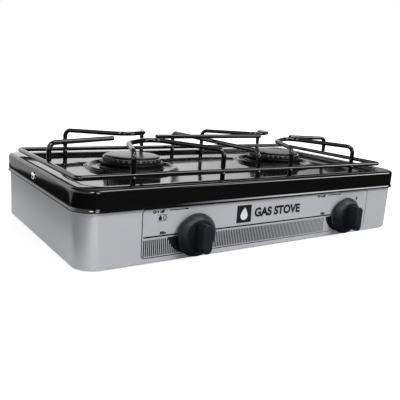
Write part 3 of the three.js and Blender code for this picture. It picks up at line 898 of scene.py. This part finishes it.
def droplet(name, x, z, width, height):
    """A flame shape: a disc drawn out to a point at its top."""
    drawn_height = 1.55
    bpy.ops.mesh.primitive_circle_add(vertices=48, radius=0.5, fill_type="NGON")
    piece = named(name)
    pick(piece, "VERT", lambda p: p.y > 0.499)
    bpy.ops.transform.translate(value=(0.06, 0.55, 0), use_proportional_edit=True,
                                proportional_edit_falloff="SHARP", proportional_size=0.8)
    leave()
    piece.scale = (width * MM, height * MM / drawn_height, 1)
    piece.location = mm(x, PRINT_Y, z + height / drawn_height / 2)
    piece.rotation_euler = (math.radians(90), 0, 0)
    set_place(piece)
    return piece


def ring_mark(name, x, z, radius, thickness):
    bpy.ops.mesh.primitive_circle_add(vertices=32, radius=radius * MM, fill_type="NGON",
                                      location=mm(x, PRINT_Y, z), rotation=(math.radians(90), 0, 0))
    piece = named(name)
    set_place(piece)
    edit(piece, "FACE")
    bpy.ops.mesh.select_all(action="SELECT")
    bpy.ops.mesh.inset(thickness=thickness * MM)
    bpy.ops.mesh.delete(type="FACE")
    leave()
    return piece


def print_piece(name, pieces, paint, lift=0.0):
    """One print in one colour, lifted forward where it lies over another."""
    piece = gather(name, pieces)
    modify(piece, "SOLIDIFY", thickness=INK * MM, offset=1)
    if lift:
        lay(piece, upright(0, -lift, 0))
    finish_piece(piece, "stove", "silver_paint", paint=paint)


def make_print():
    marks = [plate("scale_line", -187, 118, 34.0, 35.8)]
    for name, x in KNOBS.items():
        marks.append(simmer_wedge(f"wedge_{name}", x))
        marks.append(words(f"off_{name}", "Gas off", x - 58, 62.4, 3.6, 0.3))
        marks.append(plate(f"lead_{name}", x - 36, x - 11, 64.2, 65.3))
        marks.append(plate(f"lead_end_{name}", x - 14, x - 10.5, 63.9, 65.7))
        marks.append(words(f"min_{name}", "Min", x - 48, 36.6, 3.8, 0.25))
    marks.append(words("name_plate", "GAS STOVE", -26, 45.5, 11.0, 0.75))
    marks.append(plate("badge", -55, -31.5, 39, 62))
    x, z = KNOBS["left"] - 45, 56.5
    marks.append(ring_mark("big_flame_ring", x + 2.9, z, 2.7, 1.0))
    marks.append(droplet("big_flame", x - 3.2, z - 3.0, 4.6, 6.2))
    marks.append(plate("icon_top", x - 6.6, x + 6.3, z + 3.3, z + 3.9))
    marks.append(plate("icon_foot", x - 6.6, x + 6.3, z - 3.9, z - 3.3))
    marks.append(droplet("small_flame", KNOBS["right"] + 26, 53.5, 4.2, 5.6))
    marks.append(plate("small_mark", KNOBS["right"] + 40, KNOBS["right"] + 46, 34.8, 35.4))
    print_piece("front_print", marks, "black_ink", lift=LIFT)
    stripes = [bars("stripes", -187, 108, 11.8, 31.6, 2.6, 1.55), border()]
    print_piece("front_stripes", stripes, "fading_ink")
    flame = [droplet("badge_flame", -43.25, 42.5, 11.5, 16.5)]
    print_piece("badge_sign", flame, "pale_ink", lift=INK + 2 * LIFT)


# ---- carried-over frame pieces ------------------------------------------------
def paint_frame():
    slots = {entry["node"]: entry["material_slot"] for entry in frame["record"]["subparts"]}
    for node, part in frame["nodes"].items():
        part.data.materials.clear()
        part.data.materials.append(FINISHES[slots[node]])


# ---- stage ----------------------------------------------------------------------
def make_floor():
    """Pale to the eye. Mirrored in the stove it is dark, with a pale patch at the left and one behind."""
    bpy.ops.mesh.primitive_circle_add(vertices=96, radius=8, fill_type="NGON")
    floor = bpy.context.object
    floor.name = "studio_floor"
    finish = Finish("studio_floor", Roughness=0.9, Specular_IOR_Level=0.0, Emission_Strength=2.8)
    glossy, seen = finish.ray("Glossy"), finish.ray("Camera")
    x, y = finish.axis("X"), finish.axis("Y")
    left_patch = finish.spread(x - y * 0.2, 1, 0, -0.53, -0.515) * finish.spread(y, 0, 1, 0.19, 0.21)
    rear_patch = finish.spread(y, 0, 0.5, 0.2, 0.5) * finish.spread(x, 0, 1, -0.3, -0.2)
    mirrored = finish.blend(left_patch + rear_patch, rgb(0.02, 0.02, 0.02), rgb(0.75, 0.75, 0.75))
    finish.set("Base Color", finish.blend(glossy, rgb(0.93, 0.93, 0.93), mirrored))
    corner_glow = finish.spread(x, 0, 1, -0.33, -0.31) * finish.spread(x, 1, 0, -0.25, -0.23)
    corner_glow = corner_glow * finish.spread(y, 0.4, 1, -0.2, -0.3) * finish.spread(y, 0, 1, -0.52, -0.46)
    shine = glossy * corner_glow + seen * 0.3
    finish.set("Emission Color", finish.blend(shine, rgb(0, 0, 0), rgb(1, 1, 1)))
    floor.data.materials.append(finish.material)


def make_studio():
    """White to the eye. Mirrored in the stove: a pale backdrop, a left wall and a few lamps."""
    world = bpy.data.worlds.new("studio")
    bpy.context.scene.world = world
    world.use_nodes = True
    studio = Nodes(world.node_tree, "Generated")
    x, y, z = (studio.axis(name) for name in "XYZ")
    backdrop = studio.spread(y, 0, 1.25, 0.2, 0.45) * studio.spread(z, 1, 0, 0.38, 0.6)
    backdrop = backdrop * studio.spread(x, 1, 0.3, 0.5, 0.75)
    left_wall = studio.spread(x, 1.0, 0, -0.6, -0.35) * studio.spread(z, 1, 0, 0.6, 0.8)
    overhead = studio.spread(z, 0, 9, 0.66, 0.74) * studio.spread(y, 1, 0, -0.3, -0.15)
    overhead = overhead * studio.spread(x, 0, 1, 0.1, 0.3)
    aim = Vector((-0.35, -0.62, 0.70)).normalized()
    facing = x * aim.x + y * aim.y + z * aim.z
    lamp = studio.spread(facing, 0, 22, 0.988, 0.993)
    front_strip = studio.spread(x, 0, 5, -0.16, -0.08) * studio.spread(x, 1, 0, 0.08, 0.16)
    front_strip = front_strip * studio.spread(y, 1, 0, -0.8, -0.7)
    ceiling = studio.spread(z, 0, 0.35, 0.78, 0.95)
    window = studio.spread(x, 0, 11, 0.52, 0.68) * studio.spread(y, 1, 0, -0.4, -0.3)
    window = window * studio.spread(z, 0, 1, 0.2, 0.26) * studio.spread(z, 1, 0, 0.44, 0.5)
    mirrored = backdrop + left_wall + overhead + lamp + front_strip + ceiling + window + 0.03
    glossy, seen = studio.ray("Glossy"), studio.ray("Camera")
    plain = seen + (1 - seen) * studio.spread(x, 0, 0.5, -0.5, 0.3)
    background = world.node_tree.nodes["Background"].inputs
    background["Color"].default_value = (1, 1, 1, 1)
    studio.feed(background["Strength"], glossy * mirrored + (1 - glossy) * plain)


def make_key_light():
    """A broad soft sun from the front right."""
    key = bpy.data.lights.new("key", "SUN")
    key.energy = 3.0
    key.angle = math.radians(30)
    lamp = bpy.data.objects.new("key", key)
    bpy.context.scene.collection.objects.link(lamp)
    lamp.rotation_euler = Vector((0.42, -0.62, 0.66)).to_track_quat("Z", "Y").to_euler()
    lamp.visible_glossy = False


def make_camera():
    """Stands to the left of the front and a little above the stove."""
    yaw, pitch, roll = (math.radians(angle) for angle in (34.632, 12.581, 3.749))
    ahead = Vector((math.sin(yaw) * math.cos(pitch), math.cos(yaw) * math.cos(pitch), -math.sin(pitch)))
    right = Vector((math.cos(yaw), -math.sin(yaw), 0))
    up = right.cross(ahead)
    right, up = (right * math.cos(roll) + up * math.sin(roll), up * math.cos(roll) - right * math.sin(roll))
    camera = bpy.data.objects.new("camera", bpy.data.cameras.new("camera"))
    bpy.context.scene.collection.objects.link(camera)
    turn = Matrix((right, up, -ahead)).transposed().to_4x4()
    stand = upright(-455.7, -637.7, 209.8)
    camera.matrix_world = stand @ turn
    camera.data.sensor_width = 36
    camera.data.lens = 46.76
    camera.data.shift_x = -0.0018
    camera.data.shift_y = -0.0024
    camera.data.clip_start = 0.01
    bpy.context.scene.camera = camera


paint_frame()
make_casing()
make_top_panel()
make_screws()
make_feet()
for side, burner_x in BURNERS.items():
    make_burner(side, burner_x)
    make_mixing_tube(side, burner_x, KNOBS[side])
    make_tap(side, KNOBS[side])
    make_knob(side, KNOBS[side])
make_gas_line()
make_grate()
make_print()
make_floor()
make_studio()
make_key_light()
make_camera()
bpy.context.scene.view_settings.view_transform = "Standard"
